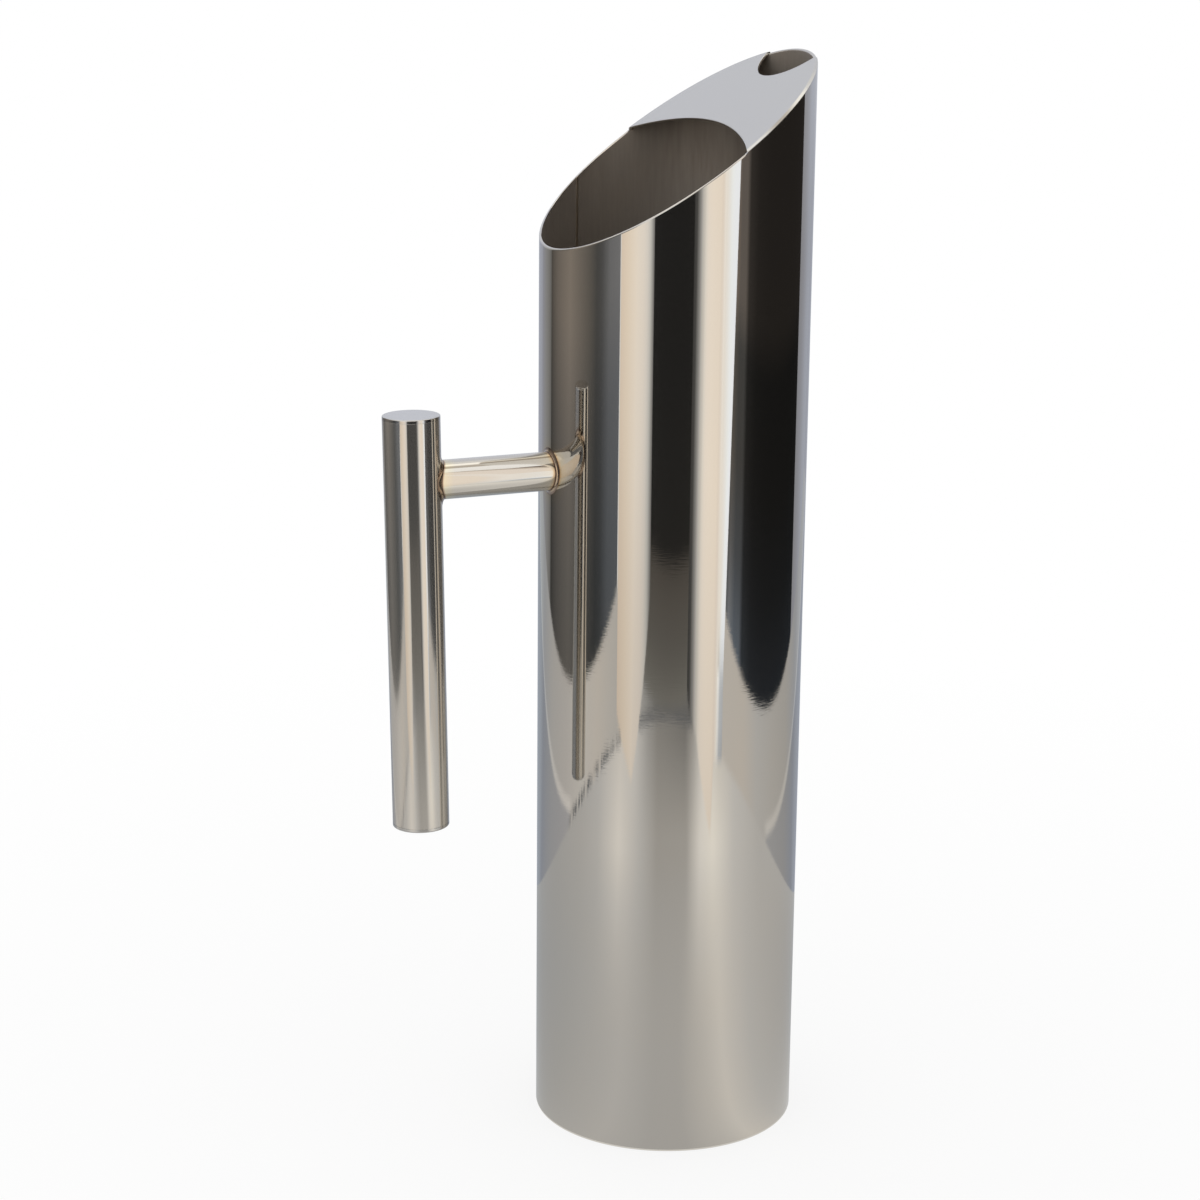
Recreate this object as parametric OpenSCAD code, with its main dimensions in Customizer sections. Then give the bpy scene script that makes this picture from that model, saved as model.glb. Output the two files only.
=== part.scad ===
// Stainless steel pitcher: a slant-cut tube with an ice guard and a T-shaped handle.
// Z is the body's axis, the foot's lower edge is z = 0, +X points to the pouring tip and -X to the handle.

/* [Body] */
// Outer diameter of the body tube
body_od = 88.9; // [80:0.1:100]
// Wall of the body tube
body_wall = 0.8; // [0.6:0.1:1.2]
// Height of the rim's low lip, on the handle's side
lip_height = 300.2; // [280:0.1:330]
// Slant of the rim from level, rising to the pouring tip
rim_slant = 34.7; // [28:0.1:40]

/* [Long seam] */
// Bearing of the tube's welded seam around the body, from the pouring tip
seam_bearing = 114; // [90:1:150]
// Width of the seam weld
seam_width = 1.2; // [0.8:0.1:2]
// How far the seam's inside bead stands out of the wall
seam_proud = 0.2; // [0.1:0.05:0.3]

/* [Foot] */
// Height of the pan's underside above the foot's edge
pan_recess = 4; // [3:0.1:6]
// Sheet thickness of the pan
pan_sheet = 0.8; // [0.6:0.1:1.2]
// Inside bend radius of the pan's turned-down flange
pan_bend = 1; // [0.5:0.1:1.5]
// Clearance between the pan's flange and the tube
pan_fit = 0.05; // [0.02:0.01:0.1]
// Height of the weld under the pan's flange
foot_weld_height = 0.9; // [0.5:0.1:1]
// Rounding of the foot weld's inner corner
foot_weld_round = 0.4; // [0.2:0.05:0.45]

/* [Ice guard] */
// Thickness of the guard plate
guard_sheet = 0.8; // [0.6:0.1:1.2]
// Reach of the fill opening past the body's axis, along the slant
guard_reach = 14; // [5:0.5:20]
// Radius of the guard's curved lower edge
guard_arc = 100; // [80:1:150]
// Depth of the pour notch from the pouring tip, along the slant
notch_depth = 15.9; // [12:0.1:20]
// Radius of the pour notch
notch_radius = 17; // [15:0.5:22]
// Leg of the bead under the plate
guard_weld_leg = 0.7; // [0.4:0.1:1]

/* [Handle arm] */
// Outer diameter of the arm
arm_od = 12.7; // [10:0.1:14]
// Wall of the arm
arm_wall = 1.2; // [0.8:0.1:1.5]
// Height of the arm's axis
arm_height = 227.9; // [210:0.1:245]

/* [Grip] */
// Outer diameter of the grip
grip_od = 18.6; // [17:0.1:22]
// Wall of the grip tube
grip_wall = 1.2; // [0.8:0.1:2]
// Clear space for fingers between grip and body, at the arm
hand_gap = 37.8; // [32:0.1:50]
// Rise of the grip's top above the arm's axis
grip_rise = 21.7; // [15:0.1:30]
// Drop of the grip's bottom below the arm's axis
grip_drop = 115.2; // [90:0.1:130]
// Lean of the grip, its bottom towards the body
grip_lean = 1; // [0:0.1:3]
// Thickness of the grip's end caps
cap_sheet = 1.2; // [0.8:0.1:2]
// Rounding of the caps' outer edge
cap_round = 0.4; // [0.2:0.1:0.6]

/* [Handle welds] */
// Reach of the arm's weld up and down the body
body_fillet_rise = 1.4; // [0.8:0.1:2]
// Reach of that weld around the body, at the arm's sides
body_fillet_flank = 0.8; // [0.6:0.1:1.4]
// Reach of that weld along the arm
body_fillet_run = 0.7; // [0.5:0.1:1.5]
// Reach of the arm's weld up and down the grip
grip_fillet_rise = 2.2; // [0.8:0.1:2.4]
// Reach of that weld around the grip, at the arm's sides
grip_fillet_flank = 1.1; // [0.6:0.1:1.3]
// Reach of that weld along the arm
grip_fillet_run = 0.9; // [0.5:0.1:1.4]
// How full the fillets are, from 0 for deeply hollow to 1 for flat
fillet_fullness = 0.55; // [0.3:0.05:0.8]

/* [Hidden] */
$fn = 128;

polished = "silver";
inner_satin = "darkgray";
weld_metal = "tan";

body_r = body_od / 2;
bore_r = body_r - body_wall;
rim_mid = lip_height + body_r * tan(rim_slant);
tip_height = lip_height + body_od * tan(rim_slant);
rim_reach = body_r / cos(rim_slant);
// Anything that is trimmed by the rim's plane starts out this much too long
trim = 20;
over = 1;

arm_r = arm_od / 2;
grip_r = grip_od / 2;
grip_x = -body_r - hand_gap - grip_r;

pan_r = bore_r - pan_fit;
pan_top = pan_recess + pan_sheet;
pan_outer_bend = pan_bend + pan_sheet;

// The seam's bead is a round stroke that meets the bore at the edges of the slit
bead_r = (pow(seam_width / 2, 2) + pow(seam_proud, 2)) / (2 * seam_proud);

// Steps of a fillet around its arm, and along its hollow face
fillet_steps = 96;
face_steps = 6;

// Places children in the rim's plane: X climbs the slant, Z stands out of the cut
module on_rim() {
    translate([0, 0, rim_mid]) rotate([0, -rim_slant, 0]) children();
}

// A slice of the given thickness along the rim's plane, wider than the body, from base upward
module rim_slice(base, thick) {
    on_rim() translate([-rim_reach - trim, -body_r - trim, base])
        cube([2 * (rim_reach + trim), 2 * (body_r + trim), thick]);
}

// Everything above the rim's plane
module above_rim() {
    rim_slice(0, tip_height);
}

// The two round cuts that leave the guard: the fill opening and the pour notch
module guard_cuts() {
    on_rim() translate([guard_reach - guard_arc, 0, -trim]) cylinder(r = guard_arc, h = 2 * trim, $fn = 256);
    on_rim() translate([rim_reach - notch_depth + notch_radius, 0, -trim])
        cylinder(r = notch_radius, h = 2 * trim);
}

// The straight slot that the long seam fills, in the wall of the tube
module seam_slot() {
    translate([bore_r - over, -seam_width / 2]) square([body_wall + 2 * over, seam_width]);
}

module body_tube() {
    color(polished) difference() {
        cylinder(r = body_r, h = tip_height);
        translate([0, 0, -over]) cylinder(r = bore_r, h = tip_height + 2 * over);
        rotate([0, 0, seam_bearing]) translate([0, 0, -over]) linear_extrude(tip_height + 2 * over) seam_slot();
        above_rim();
    }
}

// The seam is flush outside, and its inside bead stops just above the pan
module seam_weld() {
    color(weld_metal) difference() {
        rotate([0, 0, seam_bearing]) {
            linear_extrude(tip_height) difference() {
                intersection() {
                    circle(r = body_r);
                    seam_slot();
                }
                circle(r = bore_r);
            }
            translate([0, 0, pan_top]) linear_extrude(tip_height - pan_top) intersection() {
                translate([bore_r - seam_proud + bead_r, 0]) circle(r = bead_r);
                circle(r = body_r - body_wall / 2);
                seam_slot();
            }
        }
        above_rim();
    }
}

// Section of the pan: a flat floor, a quarter-round bend and a flange that points down
module pan_section() {
    bend_x = pan_r - pan_outer_bend;
    bend_z = pan_top - pan_outer_bend;
    translate([0, pan_recess]) square([bend_x, pan_sheet]);
    translate([pan_r - pan_sheet, foot_weld_height]) square([pan_sheet, bend_z - foot_weld_height]);
    translate([bend_x, bend_z]) intersection() {
        difference() {
            circle(r = pan_outer_bend);
            circle(r = pan_bend);
        }
        square(pan_outer_bend);
    }
}

module base_pan() {
    color(inner_satin) rotate_extrude() pan_section();
}

// Section of the foot weld: square to the wall and the flange, ground level below, round inside
module foot_weld_section() {
    inner = pan_r - pan_sheet;
    translate([inner, foot_weld_round]) square([bore_r - inner, foot_weld_height - foot_weld_round]);
    translate([inner + foot_weld_round, 0]) square([bore_r - inner - foot_weld_round, foot_weld_round]);
    intersection() {
        translate([inner + foot_weld_round, foot_weld_round]) circle(r = foot_weld_round);
        translate([inner, 0]) square(foot_weld_round);
    }
}

module base_weld() {
    color(weld_metal) rotate_extrude() foot_weld_section();
}

module ice_guard() {
    color(polished) difference() {
        intersection() {
            cylinder(r = body_r, h = tip_height + trim);
            rim_slice(0, guard_sheet);
        }
        guard_cuts();
    }
}

// The bead fills the corner between the plate's underside and the bore
module guard_weld() {
    color(weld_metal) difference() {
        intersection() {
            cylinder(r = bore_r, h = tip_height + trim);
            rim_slice(-guard_weld_leg, guard_weld_leg);
        }
        cylinder(r = bore_r - guard_weld_leg, h = tip_height + trim);
        guard_cuts();
    }
}

// Places children on the grip's leaning axis, with zero at the height of the arm
module on_grip() {
    translate([grip_x, 0, arm_height]) rotate([0, -grip_lean, 0]) children();
}

// A solid bar along the grip, from low to high of the arm's axis
module grip_bar(radius, low, high) {
    on_grip() translate([0, 0, low]) cylinder(r = radius, h = high - low);
}

// The arm runs from the grip to the body and is coped to both
module handle_arm() {
    color(polished) difference() {
        translate([grip_x, 0, arm_height]) rotate([0, 90, 0]) difference() {
            cylinder(r = arm_r, h = -grip_x);
            translate([0, 0, -over]) cylinder(r = arm_r - arm_wall, h = 2 * over - grip_x);
        }
        cylinder(r = body_r, h = tip_height);
        grip_bar(grip_r, -grip_drop, grip_rise);
    }
}

module grip_tube() {
    color(polished) difference() {
        grip_bar(grip_r, cap_sheet - grip_drop, grip_rise - cap_sheet);
        grip_bar(grip_r - grip_wall, -grip_drop, grip_rise);
    }
}

// A disc with its far edge rounded, lying on z = 0
module cap() {
    rotate_extrude() {
        square([grip_r - cap_round, cap_sheet]);
        square([grip_r, cap_sheet - cap_round]);
        intersection() {
            translate([grip_r - cap_round, cap_sheet - cap_round]) circle(r = cap_round);
            square([grip_r, cap_sheet]);
        }
    }
}

module grip_top_cap() {
    color(polished) on_grip() translate([0, 0, grip_rise - cap_sheet]) cap();
}

module grip_bottom_cap() {
    color(polished) on_grip() translate([0, 0, cap_sheet - grip_drop]) mirror([0, 0, 1]) cap();
}

// How far a leaning round wall stands over the point where its axis crosses the arm's axis
function wall_rise(wall_r, lean, along, side) =
    (sqrt(wall_r * wall_r - side * side) + along * sin(lean)) / cos(lean);

// Point of a fillet at an angle round the arm: out from the arm's axis, and lifted off the wall
function fillet_point(wall_r, lean, angle, out, lift) =
    [out * cos(angle), out * sin(angle), wall_rise(wall_r, lean, out * cos(angle), out * sin(angle)) + lift];

// Point along a quadratic curve from a to c, drawn towards b
function curve_point(a, b, c, t) = (1 - t) * (1 - t) * a + 2 * t * (1 - t) * b + t * t * c;

// One section of the fillet: its root in the corner, then its hollow face from the wall up to the arm
function fillet_section(wall_r, lean, rise, flank, run, angle) =
    let (
        reach = flank + (rise - flank) * pow(cos(angle), 2),
        root = fillet_point(wall_r, lean, angle, arm_r, 0),
        wall_toe = fillet_point(wall_r, lean, angle, arm_r + reach, 0),
        arm_toe = fillet_point(wall_r, lean, angle, arm_r, run),
        pull = root + fillet_fullness * ((wall_toe + arm_toe) / 2 - root)
    )
    concat([root], [for (i = [0 : face_steps]) curve_point(wall_toe, pull, arm_toe, i / face_steps)]);

// A fillet weld around an arm that stands on a round wall: here the arm's axis is Z and the wall's is X,
// leaning by the given angle. It reaches rise along the wall's axis, flank across it and run up the arm.
module saddle_fillet(wall_r, rise, flank, run, lean = 0) {
    ring = face_steps + 2;
    points = [for (s = [0 : fillet_steps - 1])
        each fillet_section(wall_r, lean, rise, flank, run, 360 * s / fillet_steps)];
    faces = [for (s = [0 : fillet_steps - 1], k = [0 : ring - 1])
        let (here = s * ring, next = ((s + 1) % fillet_steps) * ring, turn = (k + 1) % ring)
        each [[here + k, next + turn, next + k], [here + k, here + turn, next + turn]]];
    polyhedron(points = points, faces = faces, convexity = 4);
}

module arm_body_weld() {
    color(weld_metal) translate([0, 0, arm_height]) rotate([0, -90, 0])
        saddle_fillet(body_r, body_fillet_rise, body_fillet_flank, body_fillet_run);
}

module arm_grip_weld() {
    color(weld_metal) translate([grip_x, 0, arm_height]) rotate([0, 90, 0])
        saddle_fillet(grip_r, grip_fillet_rise, grip_fillet_flank, grip_fillet_run, grip_lean);
}

body_tube();
seam_weld();
base_pan();
base_weld();
ice_guard();
guard_weld();
handle_arm();
arm_body_weld();
arm_grip_weld();
grip_tube();
grip_top_cap();
grip_bottom_cap();
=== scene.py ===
import math

import bmesh
import bpy
from mathutils import Matrix, Vector


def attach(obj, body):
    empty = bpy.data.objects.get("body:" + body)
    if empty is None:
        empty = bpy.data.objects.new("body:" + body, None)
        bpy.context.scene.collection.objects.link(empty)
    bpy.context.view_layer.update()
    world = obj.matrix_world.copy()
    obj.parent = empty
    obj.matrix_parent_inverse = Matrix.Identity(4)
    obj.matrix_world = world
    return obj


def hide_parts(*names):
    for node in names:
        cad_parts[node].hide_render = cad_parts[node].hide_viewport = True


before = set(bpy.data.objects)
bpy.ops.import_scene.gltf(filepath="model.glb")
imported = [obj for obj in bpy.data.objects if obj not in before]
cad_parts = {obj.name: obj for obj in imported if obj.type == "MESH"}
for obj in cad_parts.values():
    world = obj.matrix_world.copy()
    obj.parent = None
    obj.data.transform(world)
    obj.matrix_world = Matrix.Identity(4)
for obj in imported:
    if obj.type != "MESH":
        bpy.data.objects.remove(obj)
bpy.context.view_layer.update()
print("pitcher: frame loaded")

# Pieces are drawn in millimetres, as on the shop drawing, and shrunk to metres when they are finished
metresPerMm = 0.001
white = "#FFFFFF"


def linearColour(hexText, level=1.0):
    # sRGB hex to the linear colour that the nodes want, times a level for lit boards
    values = [int(hexText[i:i + 2], 16) / 255 for i in (1, 3, 5)]
    spread = [v / 12.92 if v <= 0.04045 else ((v + 0.055) / 1.055) ** 2.4 for v in values]
    return [v * level for v in spread] + [1.0]


def addNode(tree, kind, sockets=None, links=None, stops=None, **settings):
    # one node with its settings, its plain socket values, what feeds it, and a ramp's stops
    node = tree.nodes.new(kind)
    for key, value in settings.items():
        setattr(node, key, value)
    for key, value in (sockets or {}).items():
        node.inputs[key].default_value = value
    for key, source in (links or {}).items():
        output = source if isinstance(source, bpy.types.NodeSocket) else source.outputs[0]
        tree.links.new(output, node.inputs[key])
    if stops:
        setStops(node.color_ramp.elements, stops)
    return node


def setStops(elements, stops):
    # stops are (position, linear colour with its alpha)
    while len(elements) > 1:
        elements.remove(elements[-1])
    for index, (position, colour) in enumerate(stops):
        element = elements[0] if index == 0 else elements.new(position)
        element.position = position
        element.color = colour


# Camera: where the photographer stood, worked out from the tube's rims and edges
cameraSettings = {
    "turn": -114.041,      # degrees round the pitcher from the spout
    "climb": 14.425,       # degrees above level
    "distance": 924.7,     # mm to the aimed point
    "aimHeight": 180.06,   # mm up the body's axis
    "sideStep": -23.56,    # mm to the right of the aim
    "roll": 0.533,         # degrees
    "lens": 82.54,         # mm
    "sensor": 36,          # mm
}


def makeCamera(s):
    turn, climb, roll = (math.radians(s[k]) for k in ("turn", "climb", "roll"))
    away = Vector((math.cos(climb) * math.cos(turn), math.cos(climb) * math.sin(turn), math.sin(climb)))
    right = (-away).cross(Vector((0, 0, 1))).normalized()
    up = right.cross(-away)
    place = Vector((0, 0, s["aimHeight"])) + away * s["distance"] + right * s["sideStep"]
    tiltedRight = math.cos(roll) * right + math.sin(roll) * up
    tiltedUp = -math.sin(roll) * right + math.cos(roll) * up
    lensData = bpy.data.cameras.new("camera")
    lensData.lens = s["lens"]
    lensData.sensor_width = s["sensor"]
    camera = bpy.data.objects.new("camera", lensData)
    pose = Matrix((tiltedRight, tiltedUp, away)).transposed().to_4x4()
    pose.translation = place * metresPerMm
    camera.matrix_world = pose
    bpy.context.scene.collection.objects.link(camera)
    bpy.context.scene.camera = camera


makeCamera(cameraSettings)
print("pitcher: camera placed")


# Shape helpers

def softenEdges(bm, edges, width, segments=3):
    # rounds the edges over, and keeps the flats beside them truly flat or truly round
    bmesh.ops.recalc_face_normals(bm, faces=bm.faces)
    made = bmesh.ops.bevel(bm, geom=edges, offset=width, offset_type="OFFSET", affect="EDGES",
                           segments=segments, profile=0.5, material=-1, clamp_overlap=True)
    rounded = set(made["faces"])
    for face in rounded:
        for edge in face.edges:
            if any(other not in rounded for other in edge.link_faces):
                edge.smooth = False


def edgesOf(verts):
    chosen = set(verts)
    return [e for e in {e for v in chosen for e in v.link_edges} if all(v in chosen for v in e.verts)]


def ringOf(bm, radius, height, segments):
    made = bmesh.ops.create_circle(bm, segments=segments, radius=radius,
                                   matrix=Matrix.Translation((0, 0, height)))
    return made["verts"]


def pullUp(bm, verts, rise):
    grown = bmesh.ops.extrude_edge_only(bm, edges=edgesOf(verts))
    tops = [g for g in grown["geom"] if isinstance(g, bmesh.types.BMVert)]
    bmesh.ops.translate(bm, verts=tops, vec=(0, 0, rise))
    return tops


def openTube(bm, outer, inner, low, high, segments):
    # two walls joined at both ends
    feet = [ringOf(bm, r, low, segments) for r in (outer, inner)]
    tops = [pullUp(bm, ring, high - low) for ring in feet]
    for pair in (feet, tops):
        bmesh.ops.bridge_loops(bm, edges=edgesOf(pair[0]) + edgesOf(pair[1]))


def spinSection(bm, points, steps, axis=(0, 0, 1), closed=True):
    # a section drawn as points, swept all the way round the axis
    verts = [bm.verts.new(p) for p in points]
    pairs = zip(verts, verts[1:] + verts[:1]) if closed else zip(verts, verts[1:])
    edges = [bm.edges.new(pair) for pair in pairs]
    bmesh.ops.spin(bm, geom=verts + edges, cent=(0, 0, 0), axis=axis, angle=math.tau, steps=steps,
                   use_merge=True)


def finishPiece(name, bm, materials, nodes, creaseAngle=35):
    bmesh.ops.remove_doubles(bm, verts=bm.verts, dist=1e-4)
    bmesh.ops.recalc_face_normals(bm, faces=bm.faces)
    bm.normal_update()
    for face in bm.faces:
        face.smooth = True
    for edge in bm.edges:
        if edge.calc_face_angle(0) > math.radians(creaseAngle):
            edge.smooth = False
    bmesh.ops.scale(bm, verts=bm.verts, vec=(metresPerMm,) * 3)
    mesh = bpy.data.meshes.new(name)
    bm.to_mesh(mesh)
    bm.free()
    for material in materials:
        mesh.materials.append(material)
    piece = bpy.data.objects.new(name, mesh)
    bpy.context.scene.collection.objects.link(piece)
    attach(piece, "root")
    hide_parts(*nodes)


# Materials

def startMetal(name):
    material = bpy.data.materials.new(name)
    material.use_nodes = True
    tree = material.node_tree
    tree.nodes.clear()
    shader = addNode(tree, "ShaderNodeBsdfPrincipled", {"Metallic": 1.0})
    addNode(tree, "ShaderNodeOutputMaterial", links={"Surface": shader})
    return material, tree, shader


def placeInMm(tree, centre=(0, 0, 0)):
    coords = addNode(tree, "ShaderNodeTexCoord")
    scaled = addNode(tree, "ShaderNodeVectorMath", {"Scale": 1000.0}, {0: coords.outputs["Object"]},
                     operation="SCALE")
    return addNode(tree, "ShaderNodeVectorMath", {1: centre}, {0: scaled}, operation="SUBTRACT")


def stretchedNoise(tree, place, pitch, detail=2.0):
    # noise whose features are as long as pitch says, in mm, along X, Y and Z
    squeezed = addNode(tree, "ShaderNodeVectorMath", {1: [1 / p for p in pitch]}, {0: place},
                       operation="MULTIPLY")
    return addNode(tree, "ShaderNodeTexNoise", {"Scale": 1.0, "Detail": detail, "Roughness": 0.55},
                   {"Vector": squeezed})


def distanceFromAxis(tree, place):
    # mm from the upright axis
    across = addNode(tree, "ShaderNodeVectorMath", {1: (1, 1, 0)}, {0: place}, operation="MULTIPLY")
    return addNode(tree, "ShaderNodeVectorMath", links={0: across}, operation="LENGTH").outputs["Value"]


def heatTint(tree, colour, tint):
    # temper colours that welding left: stops are (share of the reach, hex, strength)
    if "attribute" in tint:
        distance = addNode(tree, "ShaderNodeAttribute", attribute_name=tint["attribute"]).outputs["Fac"]
    else:
        distance = addNode(tree, "ShaderNodeVectorMath", {1: tint["from"]}, {0: placeInMm(tree)},
                           operation="DISTANCE").outputs["Value"]
    far = tint["start"] + tint["reach"]
    share = addNode(tree, "ShaderNodeMapRange", {"From Min": tint["start"], "From Max": far},
                    {"Value": distance})
    stops = [(at, linearColour(shade)[:3] + [amount]) for at, shade, amount in tint["stops"]]
    ramp = addNode(tree, "ShaderNodeValToRGB", links={"Fac": share}, stops=stops)
    fed = {0: ramp.outputs["Alpha"], 6: colour, 7: ramp.outputs["Color"]}
    return addNode(tree, "ShaderNodeMix", links=fed, data_type="RGBA").outputs[2]


def cloudedColour(tree, place, look):
    # a metal's two near shades, in soft clouds
    clouds = stretchedNoise(tree, place, (look["cloudSize"],) * 3, 3.0)
    shades = {6: linearColour(look["warm"]), 7: linearColour(look["cool"])}
    return addNode(tree, "ShaderNodeMix", shades, {0: clouds}, data_type="RGBA").outputs[2]


def polishedSteel(name, look, axis=(0, 0, 1), centre=(0, 0, 0), tints=()):
    # Type 304 stainless steel, buffed round the tube. It mirrors sharply round the tube, while the fine
    # round scratches smear what it mirrors along the tube into soft tails.
    # A thin veil lies over it: smeared tails on the body, a matt haze on the handle.
    material, tree, shader = startMetal(name)
    place = placeInMm(tree, centre)
    along = [look["scratchPitch"] if a else look["scratchLength"] for a in axis]
    colour = cloudedColour(tree, place, look)
    for tint in tints:
        colour = heatTint(tree, colour, tint)
    around = addNode(tree, "ShaderNodeVectorMath", {1: axis}, {0: place}, operation="CROSS_PRODUCT")
    waves = stretchedNoise(tree, place, look["waveLength"], 1.0)
    scratches = stretchedNoise(tree, place, along, 2.0)
    deep, fine = (look[k] * metresPerMm for k in ("waveDepth", "scratchDepth"))
    swell = addNode(tree, "ShaderNodeBump", {"Strength": 1.0, "Distance": deep}, {"Height": waves})
    grooves = addNode(tree, "ShaderNodeBump", {"Strength": 1.0, "Distance": fine},
                      {"Height": scratches, "Normal": swell})
    veil = addNode(tree, "ShaderNodeBsdfPrincipled", {"Metallic": look["veilMetal"]})
    for part, rough in ((shader, look["clear"]), (veil, look["veilRough"])):
        part.inputs["Roughness"].default_value = rough
        part.inputs["Anisotropic"].default_value = look["grain"]
        part.inputs["Anisotropic Rotation"].default_value = look["grainTurn"]
        tree.links.new(colour, part.inputs["Base Color"])
        tree.links.new(around.outputs[0], part.inputs["Tangent"])
        tree.links.new(grooves.outputs[0], part.inputs["Normal"])
    both = addNode(tree, "ShaderNodeMixShader", {0: look["veilShare"]}, {1: shader, 2: veil})
    tree.links.new(both.outputs[0], tree.nodes["Material Output"].inputs["Surface"])
    return material


bodyLook = {
    "warm": "#CFC9BF", "cool": "#CCC9C3",
    "cloudSize": 45.0,
    "clear": 0.022, "veilRough": 0.4, "veilShare": 0.022, "veilMetal": 1.0,
    "grain": 0.95, "grainTurn": 0.25,
    # real scratches lie some 0.05 mm apart, too fine to show, so these are as coarse as they need to be
    "scratchPitch": 0.36, "scratchLength": 5.0, "scratchDepth": 0.0029,
    "waveLength": (60.0, 60.0, 170.0), "waveDepth": 0.2,
}
# the handle was buffed less finely, so it mirrors less sharply and a thin haze lies on its dark bands
handleLook = bodyLook | {"waveDepth": 0.0, "scratchDepth": 0.0001, "veilMetal": 0.0, "veilRough": 0.8}
gripLook = handleLook | {"clear": 0.06, "veilShare": 0.09}
armLook = handleLook | {"clear": 0.03, "veilShare": 0.03}
plateLook = bodyLook | {"warm": "#CAC7C1", "cool": "#C9C7C3", "clear": 0.12, "waveDepth": 0.0,
                        "scratchDepth": 0.0008}

# straw to brown temper colours: on the body, on the grip, and along the arm from its two ends
bodyTint = {"from": (-44.0, 0, 227.9), "start": 7.0, "reach": 5.0,
            "stops": [(0, "#6E5238", 0.75), (0.08, "#C9A873", 0.45), (0.3, "#E2CFA6", 0.2),
                      (1, "#E2CFA6", 0.0)]}
gripTint = {"from": (-82.6, 0, 227.9), "start": 7.2, "reach": 4.0,
            "stops": [(0, "#6E5238", 0.6), (0.1, "#B5926A", 0.4), (0.35, "#DCC6A0", 0.2),
                      (1, "#DCC6A0", 0.0)]}
armTints = [{"attribute": "fromBody", "start": 0.65, "reach": 6.0,
             "stops": [(0, "#4A3425", 0.9), (0.04, "#8A6238", 0.8), (0.09, "#D9B57C", 0.5),
                       (0.3, "#E4D2AC", 0.2), (1, "#E4D2AC", 0.0)]},
            {"attribute": "fromGrip", "start": 0.85, "reach": 4.0,
             "stops": [(0, "#4A3425", 0.9), (0.08, "#A8845A", 0.6), (0.18, "#EADFB4", 0.4),
                       (1, "#EADFB4", 0.0)]}]
# on the weld itself: brown along both toes, with bronze metal between them
weldTint = {"attribute": "lift", "start": 0.0, "reach": 1.0,
            "stops": [(0, "#5A4130", 0.8), (0.2, "#7A5838", 0.7), (0.45, "#C0A27A", 0.6),
                      (0.65, "#A07C54", 0.7), (0.85, "#3F2C20", 0.95), (1, "#4A3425", 0.95)]}

bodyMetal = polishedSteel("buffedSteelBody", bodyLook, tints=[bodyTint])
plateMetal = polishedSteel("buffedSteelPlate", plateLook, axis=(0, 1, 0))
gripMetal = polishedSteel("buffedSteelGrip", gripLook, centre=(-91.55, 0, 227.9), tints=[gripTint])
armMetal = polishedSteel("buffedSteelArm", armLook, (1, 0, 0), (-66, 0, 227.9), armTints)
filletLook = armLook | {"clear": 0.05, "veilShare": 0.05}
filletMetal = polishedSteel("buffedWeldSteel", filletLook, (1, 0, 0), (-66, 0, 227.9), [weldTint])


def satinSteel(name, look):
    # mill finish inside the tube: rolled and pickled, so it only glows dully and greyish brown
    material, tree, shader = startMetal(name)
    place = placeInMm(tree)
    tree.links.new(cloudedColour(tree, place, look), shader.inputs["Base Color"])
    grain = stretchedNoise(tree, place, look["grainSize"], 3.0)
    rough = addNode(tree, "ShaderNodeMapRange", {"From Min": 0.3, "From Max": 0.7,
                    "To Min": look["smooth"], "To Max": look["dull"]}, {"Value": grain})
    tree.links.new(rough.outputs[0], shader.inputs["Roughness"])
    bump = addNode(tree, "ShaderNodeBump", {"Strength": 1.0, "Distance": look["depth"] * metresPerMm},
                   {"Height": grain})
    tree.links.new(bump.outputs[0], shader.inputs["Normal"])
    return material


satinLook = {
    "warm": "#B3A89C", "cool": "#ADA8A2", "cloudSize": 30.0, "grainSize": (1.2, 1.2, 14.0),
    "smooth": 0.6, "dull": 0.72, "depth": 0.004,
}
satinMetal = satinSteel("millFinishSteel", satinLook)
beadLook = satinLook | {"warm": "#BFB3A2", "cool": "#B0A493", "smooth": 0.3, "dull": 0.45}
beadMetal = satinSteel("weldBeadSteel", beadLook)
print("pitcher: materials mixed")


# Body: rolled tube with the slanted cut
bodySettings = {
    "radius": 44.449, "wall": 0.8,
    "lip": 300.2,           # mm to the lowest point of the rim
    "slant": 34.7,          # degrees of the cut
    "segments": 256,
    "rimRound": 0.36, "footRound": 0.25,
}

# Ice guard: flat plate on the upper part of the cut
guardSettings = {
    "sheet": 0.8, "reach": 14.0, "arc": 100.0, "notchDepth": 15.9, "notchRadius": 17.0,
    "bevelWide": 0.6, "bevelTip": 0.75, "bevelDeep": 0.6,   # ground along its rim, wider at the tip
    "edgeBevel": 0.11, "inset": 0.02, "rimSteps": 64, "arcSteps": 48, "notchSteps": 40,
}


def guardCuts(s, body, slip=0.0, trim=0.0, grown=0.0):
    # the plate's two round cuts along the slant: each hub, its radius and the bearing at which it meets
    # the rim. The rim may be slipped along the slant and trimmed, and the cuts may be grown.
    stretch = 1 / math.cos(math.radians(body["slant"]))
    radius = body["radius"] - s["inset"]
    hubs = s["reach"] - s["arc"] - slip, radius * stretch - s["notchDepth"] + s["notchRadius"] - slip
    radius -= trim
    cuts = []
    for hub, arc, side in ((hubs[0], s["arc"] + grown, -1), (hubs[1], s["notchRadius"] + grown, 1)):
        low, high = 0.0, math.pi
        for _ in range(60):
            mid = (low + high) / 2
            inside = math.hypot(radius * stretch * math.cos(mid) - hub, radius * math.sin(mid)) < arc
            low, high = (mid, high) if inside == (side > 0) else (low, mid)
        cuts.append((hub, arc, (low + high) / 2))
    return cuts


fillCut, notchCut = guardCuts(guardSettings, bodySettings)


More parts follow.
